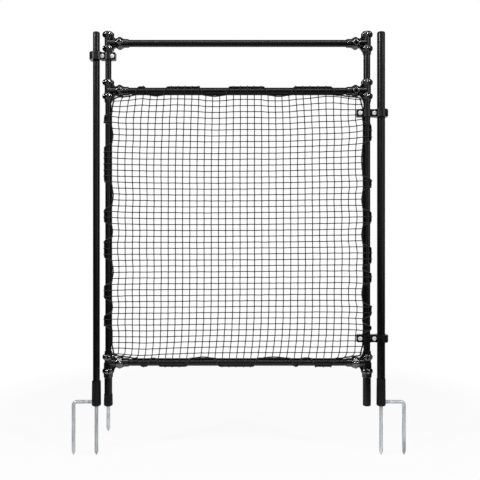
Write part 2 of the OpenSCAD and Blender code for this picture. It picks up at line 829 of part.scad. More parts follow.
module latch_hook_nuts() {
    color("#d0d0d0") translate([0, 0, hook_z]) nuts(hook_screw_places);
}

// ---------------------------------------------------------------- the net

// Outline of the net, drawn in by the given distance from the line of the cord
function net_corner(points, sx, sz, inset) = [for (p = points)
    [p[0] + sx * inset, p[2] + sz * inset]];
function net_outline(inset) = concat(
    net_corner(corner_points(latch_stile_x, bottom_bar_z, 1, 1, latch_cord_r), 1, 1, inset),
    net_corner(reversed(corner_points(hinge_stile_x, bottom_bar_z, -1, 1, hinge_cord_r)),
        -1, 1, inset),
    net_corner(corner_points(hinge_stile_x, net_bar_z, -1, -1, hinge_cord_r), -1, -1, inset),
    net_corner(reversed(corner_points(latch_stile_x, net_bar_z, 1, -1, latch_cord_r)),
        1, -1, inset)
);

// Flat net from cord to cord, with holes for the hinge clamps' screws
module net() {
    x0 = latch_stile_x + latch_cord_r;
    z0 = bottom_bar_z + bar_cord_r;
    cell_w = (hinge_stile_x - hinge_cord_r - x0 - strand_d) / net_columns;
    cell_h = (net_bar_z - bar_cord_r - z0 - strand_d) / net_rows;
    color("#242424") difference() {
        rotate([90, 0, 0]) translate([0, 0, -strand_d / 2]) linear_extrude(strand_d) difference() {
            polygon(net_outline(0));
            intersection() {
                polygon(net_outline(strand_d));
                for (i = [0 : net_columns - 1], j = [0 : net_rows - 1])
                    translate([x0 + strand_d + i * cell_w, z0 + strand_d + j * cell_h])
                        square([cell_w - strand_d, cell_h - strand_d]);
            }
        }
        for (z = [upper_clamp_z, lower_clamp_z]) translate([0, 0, z])
            screw_holes(hinge_screw_places);
    }
}

module net_edge_cord() {
    color("#1a1a1a") loop_tube(cord_path, cord_d / 2, 6);
}

// ---------------------------------------------------------------- what is drawn

hinge_post_tube();
hinge_post_cap();
hinge_post_socket();
hinge_post_spike();
hinge_post_step_spike();
latch_post_tube();
latch_post_cap();
latch_post_socket();
latch_post_spike();
latch_post_step_spike();
top_bar();
net_top_bar();
bottom_bar();
latch_stile_upper_tube();
latch_stile_main_tube();
latch_foot_tube();
latch_foot_socket();
latch_foot_spike();
hinge_stile_upper_tube();
hinge_stile_main_tube();
hinge_foot_tube();
hinge_foot_cap();
top_latch_tee();
top_hinge_tee();
net_latch_tee();
net_hinge_tee();
bottom_latch_tee();
bottom_hinge_tee();
upper_hinge_clamp_front();
upper_hinge_clamp_back();
upper_hinge_clamp_screws();
upper_hinge_clamp_nuts();
lower_hinge_clamp_front();
lower_hinge_clamp_back();
lower_hinge_clamp_screws();
lower_hinge_clamp_nuts();
latch_hook_front();
latch_hook_back();
latch_hook_screws();
latch_hook_nuts();
net();
net_edge_cord();
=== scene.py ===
"""Looks of the swing gate for a netting fence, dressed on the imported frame."""
import json
import math

import bpy
import numpy as np
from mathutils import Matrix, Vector, noise


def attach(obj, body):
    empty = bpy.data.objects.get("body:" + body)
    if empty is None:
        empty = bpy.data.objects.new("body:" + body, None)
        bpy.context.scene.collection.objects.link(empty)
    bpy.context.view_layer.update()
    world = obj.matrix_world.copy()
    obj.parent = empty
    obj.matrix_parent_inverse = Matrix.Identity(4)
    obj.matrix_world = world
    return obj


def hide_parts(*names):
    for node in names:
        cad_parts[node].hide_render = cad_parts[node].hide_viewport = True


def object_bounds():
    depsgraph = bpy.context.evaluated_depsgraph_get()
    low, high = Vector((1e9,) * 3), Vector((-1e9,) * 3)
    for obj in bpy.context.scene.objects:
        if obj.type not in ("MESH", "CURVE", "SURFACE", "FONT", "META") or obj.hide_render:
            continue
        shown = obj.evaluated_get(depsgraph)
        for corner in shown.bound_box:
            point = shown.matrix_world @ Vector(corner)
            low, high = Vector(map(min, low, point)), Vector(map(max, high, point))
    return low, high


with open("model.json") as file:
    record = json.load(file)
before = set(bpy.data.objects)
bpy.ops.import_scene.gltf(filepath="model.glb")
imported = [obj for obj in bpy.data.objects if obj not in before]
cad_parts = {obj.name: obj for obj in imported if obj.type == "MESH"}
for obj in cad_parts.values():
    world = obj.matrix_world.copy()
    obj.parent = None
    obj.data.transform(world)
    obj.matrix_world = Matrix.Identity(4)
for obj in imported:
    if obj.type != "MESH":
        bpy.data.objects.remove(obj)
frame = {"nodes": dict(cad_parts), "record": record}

CAD_LOW, CAD_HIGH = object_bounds()
MM = 0.001

# Blender's noise vectors start from the clock unless they are seeded
NOISE_SEED = 1
noise.seed_set(NOISE_SEED)

# ---------------------------------------------------------------- camera

# One pixel of the picture shows 2.6 mm at the gate's plane
PIXELS, MM_PER_PIXEL = 480, 2.6
PICTURE_WIDTH = PIXELS * MM_PER_PIXEL * MM
CAMERA_X, CAMERA_Z, CAMERA_DISTANCE = -0.3667, 0.431, 1.65
SENSOR = 36

camera_data = bpy.data.cameras.new("camera")
camera_data.sensor_width = SENSOR
camera_data.lens = SENSOR * CAMERA_DISTANCE / PICTURE_WIDTH
camera = bpy.data.objects.new("camera", camera_data)
camera.location = (CAMERA_X, -CAMERA_DISTANCE, CAMERA_Z)
camera.rotation_euler = (math.pi / 2, 0, 0)
bpy.context.scene.collection.objects.link(camera)
bpy.context.scene.camera = camera

# ---------------------------------------------------------------- sizes of the frame, in metres

# Axes of the stiles and of the two bars round the net, and of the top bar
LATCH_X, HINGE_X = -0.709, -0.037
BOTTOM_Z, TOP_Z, TOP_BAR_Z = 0.113, 0.818, 0.942
SIDE_W, SIDE_H = HINGE_X - LATCH_X, TOP_Z - BOTTOM_Z
LATCH_TUBE_R, HINGE_TUBE_R, BAR_R = 0.008, 0.009, 0.009
RIGHT, UP = Vector((1, 0, 0)), Vector((0, 0, 1))
FRONT, BACK = Vector((0, -1, 0)), Vector((0, 1, 0))

# ---------------------------------------------------------------- sides of the net's opening

# The cord is drawn tight against the tubes, and takes WEAVE_TURN to go from side to side
CORD_R, CORD_PULL = 0.0019, 0.00025
WEAVE_TURN = 0.014

# The net's own edge bows off the cord between two turns, more where they are far apart
MOST_BOW, BOW_SHARE, BOW_POWER = 0.0035, 0.07, 1.5

# Shares of each side where the cord lies on the tube's outer side
TOP_SHARES = [(.11, .15), (.22, .36), (.46, .61), (.71, .87)]
BOTTOM_SHARES = [(.12, .16), (.19, .31), (.42, .57), (.71, .74), (.79, .87)]
LATCH_SHARES = [(.13, .18), (.23, .29), (.38, .455), (.51, .57), (.66, .80), (.875, .912)]
HINGE_SHARES = [(.115, .14), (.168, .215), (.29, .335), (.36, .43), (.51, .56), (.64, .68),
                (.81, .88)]


def clamp(x, low=0.0, high=1.0):
    return min(max(x, low), high)


def smooth_step(x):
    x = clamp(x)
    return x * x * (3 - 2 * x)


class Side:
    """One tube that the net is woven round, from its start, with inward towards the net.

    The cord lies outer_turn degrees from the inner side where it is on the outer one.
    """

    def __init__(self, start, along, inward, tube_r, shares, length, outer_turn):
        self.start, self.along, self.inward = Vector(start), along, inward
        self.tube_r, self.shares, self.length = tube_r, shares, length
        self.cord_r = tube_r + CORD_R - CORD_PULL
        self.outer_turn = math.radians(outer_turn)

    def state(self, s):
        """0 where the cord lies on the inner side, 1 on the outer side."""
        value = 0.0
        for first, last in self.shares:
            up = (s - first * self.length) / WEAVE_TURN + 0.5
            down = (s - last * self.length) / WEAVE_TURN + 0.5
            value = max(value, clamp(up) - clamp(down))
        return value

    def inner_spans(self):
        """First and last place of each stretch between two turns to the outer side."""
        ends = [share * self.length for pair in self.shares for share in pair][1:-1]
        return zip(ends[::2], ends[1::2])

    def bow(self, s):
        """How far the net's own edge bows off the cord between two turns."""
        for first, last in self.inner_spans():
            if first + WEAVE_TURN / 2 < s < last - WEAVE_TURN / 2:
                span = last - first - WEAVE_TURN
                share = (s - first - WEAVE_TURN / 2) / span
                return min(MOST_BOW, BOW_SHARE * span) * math.sin(math.pi * share) ** BOW_POWER
        return 0.0

    def point(self, s, radius, turn):
        """Point at s, at a radius from the axis, turned from the inner side over the front."""
        return (self.start + s * self.along
                + radius * (math.cos(turn) * self.inward + math.sin(turn) * FRONT))

    def turn(self, s):
        """How far the cord is turned from the inner side at s."""
        return self.outer_turn * self.state(s)

    def cord(self, s):
        return self.point(s, self.cord_r, self.turn(s))


LATCH = Side((LATCH_X, 0, BOTTOM_Z), UP, RIGHT, LATCH_TUBE_R, LATCH_SHARES, SIDE_H, 165)
HINGE = Side((HINGE_X, 0, BOTTOM_Z), UP, -RIGHT, HINGE_TUBE_R, HINGE_SHARES, SIDE_H, 168)
BOTTOM = Side((LATCH_X, 0, BOTTOM_Z), RIGHT, UP, BAR_R, BOTTOM_SHARES, SIDE_W, 148)
TOP = Side((LATCH_X, 0, TOP_Z), RIGHT, -UP, BAR_R, TOP_SHARES, SIDE_W, 162)


# ---------------------------------------------------------------- mesh helpers

def catmull(points, steps):
    """Smooth curve through the points."""
    pts = [2 * points[0] - points[1]] + list(points) + [2 * points[-1] - points[-2]]
    out = []
    for a, b, c, d in zip(pts, pts[1:], pts[2:], pts[3:]):
        for k in range(steps):
            t = k / steps
            out.append(0.5 * ((2 * b) + (c - a) * t + (2 * a - 5 * b + 4 * c - d) * t * t
                              + (3 * b - a - 3 * c + d) * t ** 3))
    out.append(points[-1])
    return out


def resample(points, step):
    """The same curve in equal steps."""
    lengths = [0.0]
    for a, b in zip(points, points[1:]):
        lengths.append(lengths[-1] + (b - a).length)
    count = max(2, round(lengths[-1] / step))
    out, k = [], 0
    for i in range(count + 1):
        s = lengths[-1] * i / count
        while k < len(points) - 2 and lengths[k + 1] < s:
            k += 1
        span = lengths[k + 1] - lengths[k]
        t = (s - lengths[k]) / span if span else 0
        out.append(points[k].lerp(points[k + 1], clamp(t)))
    return out


def frames(points, closed=False):
    """A pair of cross directions at each point that turn as little as they can."""
    count = len(points)
    tangents = []
    for i in range(count):
        before = points[(i - 1) % count if closed else max(i - 1, 0)]
        after = points[(i + 1) % count if closed else min(i + 1, count - 1)]
        tangents.append((after - before).normalized())
    side = tangents[0].cross(BACK)
    if side.length < 0.1:
        side = tangents[0].cross(RIGHT)
    side.normalize()
    out = []
    for t in tangents:
        side = (side - side.dot(t) * t).normalized()
        out.append((side.copy(), t.cross(side)))
    return out


class Skin:
    """Vertices and faces of one growing mesh."""

    def __init__(self):
        self.verts, self.faces = [], []

    def tube(self, points, radii, sides, closed=False, shape=None):
        """Tube along the points; shape(i, angle) scales its radius."""
        base = len(self.verts)
        for i, (p, (u, v)) in enumerate(zip(points, frames(points, closed))):
            for k in range(sides):
                angle = 2 * math.pi * k / sides
                r = radii[i] * (shape(i, angle) if shape else 1)
                self.verts.append(p + r * (math.cos(angle) * u + math.sin(angle) * v))
        count = len(points)
        for i in range(count if closed else count - 1):
            a, b = base + i * sides, base + (i + 1) % count * sides
            for k in range(sides):
                n = (k + 1) % sides
                self.faces.append((a + k, a + n, b + n, b + k))
        if not closed:
            last = base + (count - 1) * sides
            self.faces.append(tuple(base + k for k in reversed(range(sides))))
            self.faces.append(tuple(last + k for k in range(sides)))

    def build(self, name, material):
        """The mesh as a smooth object in the scene."""
        mesh = bpy.data.meshes.new(name)
        mesh.from_pydata([tuple(v) for v in self.verts], [], self.faces)
        mesh.polygons.foreach_set("use_smooth", [True] * len(mesh.polygons))
        mesh.materials.append(material)
        mesh.validate()
        mesh.update()
        obj = bpy.data.objects.new(name, mesh)
        bpy.context.scene.collection.objects.link(obj)
        return obj


# ---------------------------------------------------------------- material helpers

def add_node(tree, kind, **settings):
    """New node; each setting names one of its inputs, or else one of its properties."""
    node = tree.nodes.new(kind)
    for key, value in settings.items():
        if key in node.inputs:
            node.inputs[key].default_value = value
        else:
            setattr(node, key, value)
    return node


def add_range(tree, value, source, target):
    """The value, carried from the source range to the target range."""
    node = tree.nodes.new("ShaderNodeMapRange")
    for key, number in zip(("From Min", "From Max", "To Min", "To Max"), (*source, *target)):
        node.inputs[key].default_value = number
    tree.links.new(value, node.inputs["Value"])
    return node.outputs["Result"]


class Shader:
    """A material with one Principled shader and short ways to add nodes."""

    def __init__(self, name, color, roughness, metallic=0.0, specular=0.5):
        self.material = bpy.data.materials.new(name)
        self.material.use_nodes = True
        self.tree = self.material.node_tree
        self.bsdf = self.tree.nodes["Principled BSDF"]
        self.bsdf.inputs["Base Color"].default_value = (*color, 1)
        self.bsdf.inputs["Roughness"].default_value = roughness
        self.bsdf.inputs["Metallic"].default_value = metallic
        self.bsdf.inputs["Specular IOR Level"].default_value = specular
        self.material.diffuse_color = (*color, 1)

    def add(self, kind, **settings):
        return add_node(self.tree, kind, **settings)

    def link(self, source, target):
        self.tree.links.new(source, target)

    def place(self, scale):
        """Object coordinates in metres, times the scale."""
        coords = self.add("ShaderNodeTexCoord")
        mapping = self.add("ShaderNodeMapping", Scale=scale)
        self.link(coords.outputs["Object"], mapping.inputs["Vector"])
        return mapping.outputs[0]

    def noise(self, scale, detail, stretch=(1, 1, 1), distortion=0.0):
        tex = self.add("ShaderNodeTexNoise", Scale=scale, Detail=detail, Distortion=distortion)
        self.link(self.place(stretch), tex.inputs["Vector"])
        return tex.outputs["Fac"]

    def ramp(self, fac, stops):
        """Colour ramp with (position, colour) stops."""
        node = self.add("ShaderNodeValToRGB")
        ramp = node.color_ramp
        while len(ramp.elements) < len(stops):
            ramp.elements.new(0.5)
        for element, (position, color) in zip(ramp.elements, stops):
            element.position = position
            element.color = (*color, 1)
        self.link(fac, node.inputs["Fac"])
        return node.outputs["Color"]

    def range(self, fac, low, high, source=(0.3, 0.7)):
        return add_range(self.tree, fac, source, (low, high))

    def mix(self, fac, a, b):
        """Colour from a to b; all three may be sockets or values."""
        node = self.add("ShaderNodeMix", data_type="RGBA")
        for key, value in (("Factor", fac), ("A", a), ("B", b)):
            socket = next(s for s in node.inputs if s.name == key and s.enabled)
            if isinstance(value, bpy.types.NodeSocket):
                self.link(value, socket)
            else:
                socket.default_value = value
        return next(s for s in node.outputs if s.enabled)

    def color(self, source):
        self.link(source, self.bsdf.inputs["Base Color"])

    def roughness(self, source):
        self.link(source, self.bsdf.inputs["Roughness"])

    def bump(self, layers):
        """Bumps one on another, each (height, distance in metres, strength)."""
        normal = None
        for height, distance, strength in layers:
            node = self.add("ShaderNodeBump", Strength=strength, Distance=distance)
            self.link(height, node.inputs["Height"])
            if normal:
                self.link(normal, node.inputs["Normal"])
            normal = node.outputs["Normal"]
        self.link(normal, self.bsdf.inputs["Normal"])


# ---------------------------------------------------------------- materials

def frame_tube_material():
    """Satin black coating on steel tube, with a faint bloom and fine scuffs."""
    s = Shader("frame_tube", (0.002, 0.002, 0.0022), 0.2, specular=0.4)
    bloom = s.noise(9, 5, distortion=0.6)
    scuffs = s.noise(60, 6, stretch=(1, 1, 0.08))
    tone = s.mix(bloom, (0.0014, 0.0014, 0.0016, 1), (0.003, 0.003, 0.0034, 1))
    s.color(s.mix(s.range(scuffs, 0, 0.5, (0.62, 0.75)), tone, (0.008, 0.008, 0.009, 1)))
    s.roughness(s.range(s.noise(35, 5), 0.22, 0.31))
    s.bump([(s.noise(260, 2), 0.0003, 0.015), (s.noise(1800, 2), 0.00008, 0.02)])
    return s.material


def moulded_foot_material():
    """Matt moulded plastic with a fine grain and a tone that varies at random."""
    s = Shader("moulded_foot", (0.002, 0.002, 0.002), 0.5, specular=0.25)
    s.color(s.mix(s.range(s.noise(28, 6), 0, 1), (0.0014, 0.0014, 0.0014, 1),
                  (0.0036, 0.0036, 0.0035, 1)))
    s.roughness(s.range(s.noise(90, 4), 0.42, 0.58))
    s.bump([(s.noise(1500, 3), 0.00015, 0.25), (s.noise(120, 2), 0.0005, 0.06)])
    return s.material


def galvanised_material():
    """Hot-dip zinc: mottled cool grey with runs along the rod and duller patches."""
    s = Shader("galvanised_spike", (0.62, 0.66, 0.66), 0.45, metallic=0.6)
    streaks = s.noise(55, 6, stretch=(1, 1, 0.16), distortion=1.2)
    patches = s.noise(170, 5, stretch=(1, 1, 0.5))
    tone = s.ramp(streaks, [(0.3, (0.26, 0.28, 0.295)), (0.45, (0.53, 0.56, 0.585)),
                            (0.6, (0.72, 0.75, 0.775)), (0.75, (0.8, 0.825, 0.85))])
    s.color(s.mix(s.range(patches, 0, 0.55, (0.5, 0.68)), tone, (0.38, 0.405, 0.425, 1)))
    s.roughness(s.range(patches, 0.34, 0.6))
    s.bump([(streaks, 0.0006, 0.3), (s.noise(900, 3), 0.0002, 0.3)])
    return s.material


def tee_material(name, specular, coat_ior, coat_roughness):
    """Glossy moulded plastic, slightly uneven; the raised collars are polished by handling."""
    s = Shader(name, (0.002, 0.002, 0.0022), 0.3, specular=specular)
    s.color(s.mix(s.range(s.noise(45, 5), 0, 1), (0.0012, 0.0012, 0.0014, 1),
                  (0.003, 0.003, 0.0032, 1)))
    s.roughness(s.range(s.noise(70, 4), 0.26, 0.36))
    s.bsdf.inputs["Coat Weight"].default_value = 1.0
    s.bsdf.inputs["Coat Roughness"].default_value = coat_roughness
    s.bsdf.inputs["Coat IOR"].default_value = coat_ior
    s.bump([(s.noise(300, 2), 0.0003, 0.05), (s.noise(2200, 2), 0.00006, 0.06)])
    return s.material


def clamp_material():
    """Semi-gloss moulded plastic with a fine moulded grain and rubbed patches."""
    s = Shader("clamp_plastic", (0.0025, 0.0025, 0.003), 0.26)
    s.color(s.mix(s.range(s.noise(70, 5), 0, 1), (0.002, 0.002, 0.0024, 1),
                  (0.005, 0.005, 0.0055, 1)))
    s.roughness(s.range(s.noise(120, 4), 0.2, 0.34))
    s.bump([(s.noise(400, 2), 0.0004, 0.05), (s.noise(2400, 2), 0.0001, 0.14)])
    return s.material


def screw_material():
    """Bright zinc plate with fine turning marks and duller spots."""
    s = Shader("zinc_screw", (0.9, 0.9, 0.9), 0.34, metallic=0.25)
    s.color(s.mix(s.range(s.noise(420, 4), 0, 1), (0.95, 0.95, 0.95, 1),
                  (0.8, 0.81, 0.83, 1)))
    s.roughness(s.range(s.noise(800, 4), 0.26, 0.42))
    s.bump([(s.noise(2600, 3), 0.0001, 0.2)])
    return s.material


def twine_material():
    """Black polyethylene twine with the grain of its twisted yarns."""
    s = Shader("net_twine", (0.006, 0.006, 0.006), 0.55)
    s.color(s.mix(s.range(s.noise(500, 4), 0, 1), (0.004, 0.004, 0.004, 1),
                  (0.01, 0.01, 0.0105, 1)))
    s.roughness(s.range(s.noise(900, 3), 0.45, 0.65))
    s.bump([(s.noise(3200, 3), 0.0002, 0.5)])
    return s.material


def cord_material():
    """Black twisted cord, fine fibres along its strands."""
    s = Shader("edge_cord", (0.005, 0.005, 0.005), 0.55)
    s.color(s.mix(s.range(s.noise(320, 5), 0, 1), (0.0035, 0.0035, 0.0035, 1),
                  (0.009, 0.009, 0.0095, 1)))
    s.roughness(s.range(s.noise(700, 3), 0.45, 0.68))
    s.bump([(s.noise(2800, 4), 0.0002, 0.4)])
    return s.material


MATERIALS = {
    "frame_tube": frame_tube_material(),
    "moulded_foot": moulded_foot_material(),
    "galvanised_spike": galvanised_material(),
    "tee_fitting": tee_material("tee_fitting", 0.2, 1.5, 0.05),
    "clamp_plastic": clamp_material(),
    "zinc_screw": screw_material(),
    "net_twine": twine_material(),
    "edge_cord": cord_material(),
}

COLLAR_MATERIAL = tee_material("tee_collar", 0.0, 2.3, 0.03)

# The rigid pieces keep their CAD solids
for part in frame["record"]["subparts"]:
    node_object = frame["nodes"][part["node"]]
    node_object.data.materials.clear()
    node_object.data.materials.append(MATERIALS[part["material_slot"]])

# ---------------------------------------------------------------- moulded collars of the tees

# Millimetres and degrees. Every tee has a collar with six beads near each end of its run and one
# on its arm, and fine ribs on the arm's sleeve. A collar rises over its tee by over, reaches half
# to both sides and has a rounded edge; its beads are stretched along the axis.
BEADS = 6
RUN_COLLAR = dict(over=2.1, half=8.0, bead_circle=10.45, bead_r=5.0, stretch=1.45)
FOOT_COLLAR = dict(over=0.9, half=6.5, bead_circle=10.45, bead_r=5.0, stretch=1.45)
ARM_COLLAR = dict(over=3.1, half=10.0, bead_circle=11.7, bead_r=5.0, stretch=1.3)
FINE_RIB = dict(over=0.35, half=0.6, bead_circle=0.0, bead_r=0.0, stretch=1.0)
EDGE_ROUNDING = 5
# Places from the tee's centre, near and far from the net's middle along the run
NEAR_AT, FAR_AT, ARM_AT = 14, 22, 30
RIBS_AT = (43, 47, 51)
# Radius of the tee under the collars, and how deep a collar is set into it
ARM_BODY = 11.1
COLLAR_SINK, COLLAR_WALL = 0.5, 0.6
COLLAR_SIDES, COLLAR_ROWS = 96, 28
# Level, height, which way the run's far end points, and the angle of the first bead from the
# gate's inside towards its back, on the far, the near and the arm's collar
LEVELS = [("top", TOP_BAR_Z, 1, -105, -105, 10), ("net", TOP_Z, 1, -105, -105, 10),
          ("bottom", BOTTOM_Z, -1, -105, -120, 30)]
# Stile, its axis, which way the net lies, and the tee's radius on its run and over its foot
STILES = [("latch", LATCH_X, 1, 9.8, 11.8), ("hinge", HINGE_X, -1, 10.8, 12.3)]


def collar_radius(s, angle, body_r, first, over, half, bead_circle, bead_r, stretch):
    """Outline of a collar at s along its axis, in millimetres."""
    edge = max(0.0, 1 - abs(s / half) ** EDGE_ROUNDING)
    r = body_r - COLLAR_SINK + (over + COLLAR_SINK) * math.sqrt(edge)
    if bead_r:
        pitch = 360 / BEADS
        away = math.radians((math.degrees(angle) - first + pitch / 2) % pitch - pitch / 2)
        slice_r_squared = bead_r ** 2 * (1 - (s / (stretch * bead_r)) ** 2)
        under_root = slice_r_squared - (bead_circle * math.sin(away)) ** 2
        if under_root > 0:
            r = max(r, bead_circle * math.cos(away) + math.sqrt(under_root))
    return r


def add_collar(skin, centre, axis, u, v, body_r, first, shape):
    """One closed collar round an axis, with its inside buried in the tee."""
    base, n = len(skin.verts), COLLAR_SIDES
    rows = [shape["half"] * math.sin(math.pi / 2 * (2 * k / COLLAR_ROWS - 1))
            for k in range(COLLAR_ROWS + 1)]
    angles = [2 * math.pi * k / n for k in range(n)]
    inner = body_r - COLLAR_SINK - COLLAR_WALL
    for s, inside in [(s, False) for s in rows] + [(rows[-1], True), (rows[0], True)]:
        for angle in angles:
            r = inner if inside else collar_radius(s, angle, body_r, first, **shape)
            skin.verts.append(centre + MM * (s * axis + r * (math.cos(angle) * u
                                                             + math.sin(angle) * v)))
    count = len(rows) + 2
    for i in range(count):
        a, b = base + i * n, base + (i + 1) % count * n
        for k in range(n):
            m = (k + 1) % n
            skin.faces.append((a + k, a + m, b + m, b + k))


for level, z, out, far_first, near_first, arm_first in LEVELS:
    for hand, x, inside, run_body, foot_body in STILES:
        toward = Vector((inside, 0, 0))
        centre = Vector((x, 0, z))
        far_body, far_collar = ((foot_body, FOOT_COLLAR) if level == "bottom"
                                else (run_body, RUN_COLLAR))
        skin = Skin()
        add_collar(skin, centre - NEAR_AT * MM * out * UP, UP, toward, BACK, run_body,
                   near_first, RUN_COLLAR)
        add_collar(skin, centre + FAR_AT * MM * out * UP, UP, toward, BACK, far_body,
                   far_first, far_collar)
        add_collar(skin, centre + ARM_AT * MM * toward, toward, -out * UP, BACK, ARM_BODY,
                   arm_first, ARM_COLLAR)
        for at in RIBS_AT:
            add_collar(skin, centre + at * MM * toward, toward, -out * UP, BACK, ARM_BODY,
                       0, FINE_RIB)
        collars = skin.build(f"tee_collars_{level}_{hand}", COLLAR_MATERIAL)
        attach(collars, "gate")

# ---------------------------------------------------------------- edge cord of the net

# The cord's way round a tee, from the stile to the bar: distance from the stile's axis and
# from the bar's, and how far it comes to the front at the upper tees, in millimetres
CORNER_WAY = [(0, 45, 0), (13.2, 36, 0), (15.2, 28, 0), (16.0, 22.6, 0), (18.2, 18.4, 0),
              (22.5, 17.0, 1.2), (30, 16.0, 4.4), (38, 15.6, 2.4), (46, 14.1, 0.6), (55, 13.2, 0),
              (64, 0, 0)]
# On the latch side its first points lie nearer to the stile, whose tees are slimmer there
LATCH_TUCK, TUCKED_POINTS = 1.8, 4
CORNER_STEPS = 6
SIDE_STEP = 0.003
CORD_STEP = 0.0012
CORD_SIDES = 14
TWIST_PITCH = 0.011
LAYS_OF_CORD = 3
# Depths of the grooves between lays, as shares of the radius, and how narrow they are
CORD_GROOVE, GATHER_GROOVE, GROOVE_POWER = 0.12, 0.16, 0.7


def corner_way(x, z):
    """The cord round the inside of one tee, from the stile to the bar."""
    side, inside = (LATCH, 1) if x == LATCH_X else (HINGE, -1)
    tuck = LATCH_TUCK if side is LATCH else 0
    forward, middle = (0, 1) if z == BOTTOM_Z else (1, -1)
    way = [((a - tuck if k < TUCKED_POINTS else a) * MM, b * MM, c * forward * MM)
           for k, (a, b, c) in enumerate(CORNER_WAY)]
    way[0] = (side.cord_r, way[0][1], 0)
    way[-1] = (way[-1][0], BOTTOM.cord_r, 0)
    return [Vector((x + inside * a, -c, z + middle * b)) for a, b, c in way]


def side_run(side):
    """The cord along one tube between its two corners."""
    first = (CORNER_WAY[-1][0] if side in (TOP, BOTTOM) else CORNER_WAY[0][1]) * MM
    count = round((side.length - 2 * first) / SIDE_STEP)
    step = (side.length - 2 * first) / count
    return [side.cord(first + step * i) for i in range(1, count)]


def corner_curve(x, z):
    return catmull(corner_way(x, z), CORNER_STEPS)


cord_loop = (corner_curve(LATCH_X, BOTTOM_Z) + side_run(BOTTOM)
             + corner_curve(HINGE_X, BOTTOM_Z)[::-1] + side_run(HINGE)
             + corner_curve(HINGE_X, TOP_Z) + side_run(TOP)[::-1]
             + corner_curve(LATCH_X, TOP_Z)[::-1] + side_run(LATCH)[::-1])
cord_points = resample(cord_loop + [cord_loop[0]], CORD_STEP)[:-1]


def rounded_lays(turn, groove):
    """Share of the radius at a turn over rounded lays, one lay to a whole turn."""
    return 1 - groove + groove * abs(math.cos(turn / 2)) ** GROOVE_POWER


def cord_shape(i, angle):
    """Three lays that wind along the cord."""
    wound = 2 * math.pi * i * CORD_STEP / TWIST_PITCH
    return rounded_lays(LAYS_OF_CORD * (angle + wound), CORD_GROOVE)


cord_skin = Skin()
cord_skin.tube(cord_points, [CORD_R] * len(cord_points), CORD_SIDES, closed=True,
               shape=cord_shape)
edge_cord = cord_skin.build("edge_cord_twisted", MATERIALS["edge_cord"])
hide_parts("net_edge_cord")
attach(edge_cord, "gate")

# ---------------------------------------------------------------- net

COLUMNS, ROWS = 35, 45
# First and last column and row of the flat net
GRID_X0, GRID_X1 = -0.7016, -0.0474
GRID_Z0, GRID_Z1 = 0.1206, 0.8118
STRAND_R, KNOT_R = 0.00123, 0.00164
STRAND_SIDES = 6

# How the net was hung, in metres: how far its columns lean along the top and the bottom bar and
# their ends rise there, and how far its rows are moved along the stiles, at shares of the way
TOP_LEAN = [(0, 0.0115), (0.06, 0.011), (0.5, 0), (0.7, -0.0055), (0.78, -0.008),
            (0.86, -0.003), (0.92, 0.0012), (1, 0.001)]
TOP_RISE = [(0, 0), (0.05, 0.001), (0.1, 0.004), (0.2, 0.003), (0.35, 0), (0.76, 0),
            (0.82, 0.004), (0.87, 0.0135), (0.92, 0.0125), (0.95, 0.005), (1, 0)]
BOTTOM_LEAN = [(0, -0.0075), (0.05, -0.0085), (0.2, -0.0085), (0.35, -0.01), (0.55, -0.0118),
               (0.7, -0.0118), (0.85, -0.0105), (1, -0.008)]
BOTTOM_RISE = [(0, -0.002), (0.04, -0.004), (0.1, -0.009), (0.16, -0.009), (0.22, -0.0035),
               (0.34, -0.0015), (0.42, 0), (1, 0)]
LATCH_ROWS = [(0, 0), (0.05, -0.0023), (0.13, -0.0025), (0.28, -0.005), (0.46, -0.0028),
              (0.5, 0), (0.7, 0.0005), (0.91, 0.0018), (1, -0.0065)]
HINGE_ROWS = [(0, 0.003), (0.05, 0.0025), (0.09, -0.0012), (0.3, -0.0008), (0.5, 0.0022),
              (0.58, 0.001), (0.64, 0.003), (0.7, 0.003), (0.8, 0.0085), (0.88, 0.0115),
              (0.93, 0.006), (1, -0.003)]
# No strand meets the cord nearer than this to the opening's corners
HEM_CORNER = 0.0172
# How far the weave draws the net out over a tube and to the front
PULL_OUT = {LATCH: 0.0035, HINGE: 0.0045, TOP: 0.004, BOTTOM: 0.0}
PULL_FORWARD = 0.004
# What was hung reaches far into the net, and drifts left and down a little in each round. The
# pull of the weave is stiff along the strands, and dies away within a few cells.
HUNG_DRIFT = np.array((6e-6, 0, 7e-6))
HUNG_STIFFNESS, PULL_STIFFNESS = 1.5, 9.0
RELAX_ROUNDS = 2500
# Uneven knots
JITTER, JITTER_X, JITTER_Z, JITTER_SEED = 0.0007, 0.73, 0.91, 4.2


def cord_at(line, axis, value):
    """Point of the cord where its coordinate along the axis has the value."""
    best = min(range(len(line) - 1),
               key=lambda k: abs((line[k][axis] + line[k + 1][axis]) / 2 - value))
    a, b = line[best], line[best + 1]
    span = b[axis] - a[axis]
    t = (value - a[axis]) / span if abs(span) > 1e-9 else 0.5
    return a.lerp(b, clamp(t))


# The cord along each side with both corners
LATCH_LINE = (corner_curve(LATCH_X, BOTTOM_Z)[::-1] + side_run(LATCH)
              + corner_curve(LATCH_X, TOP_Z))
HINGE_LINE = (corner_curve(HINGE_X, BOTTOM_Z)[::-1] + side_run(HINGE)
              + corner_curve(HINGE_X, TOP_Z))
BOTTOM_LINE = (corner_curve(LATCH_X, BOTTOM_Z) + side_run(BOTTOM)
               + corner_curve(HINGE_X, BOTTOM_Z)[::-1])
TOP_LINE = (corner_curve(LATCH_X, TOP_Z) + side_run(TOP)
            + corner_curve(HINGE_X, TOP_Z)[::-1])


def hem_pull(side, s):
    """Where the weave holds the net beside a tube: inside it, or drawn out over its front."""
    inner = side.point(s, side.cord_r, 0)
    outer = side.point(s, side.cord_r - PULL_OUT[side], 0) - Vector((0, PULL_FORWARD, 0))
    return inner.lerp(outer, smooth_step(side.state(s)))


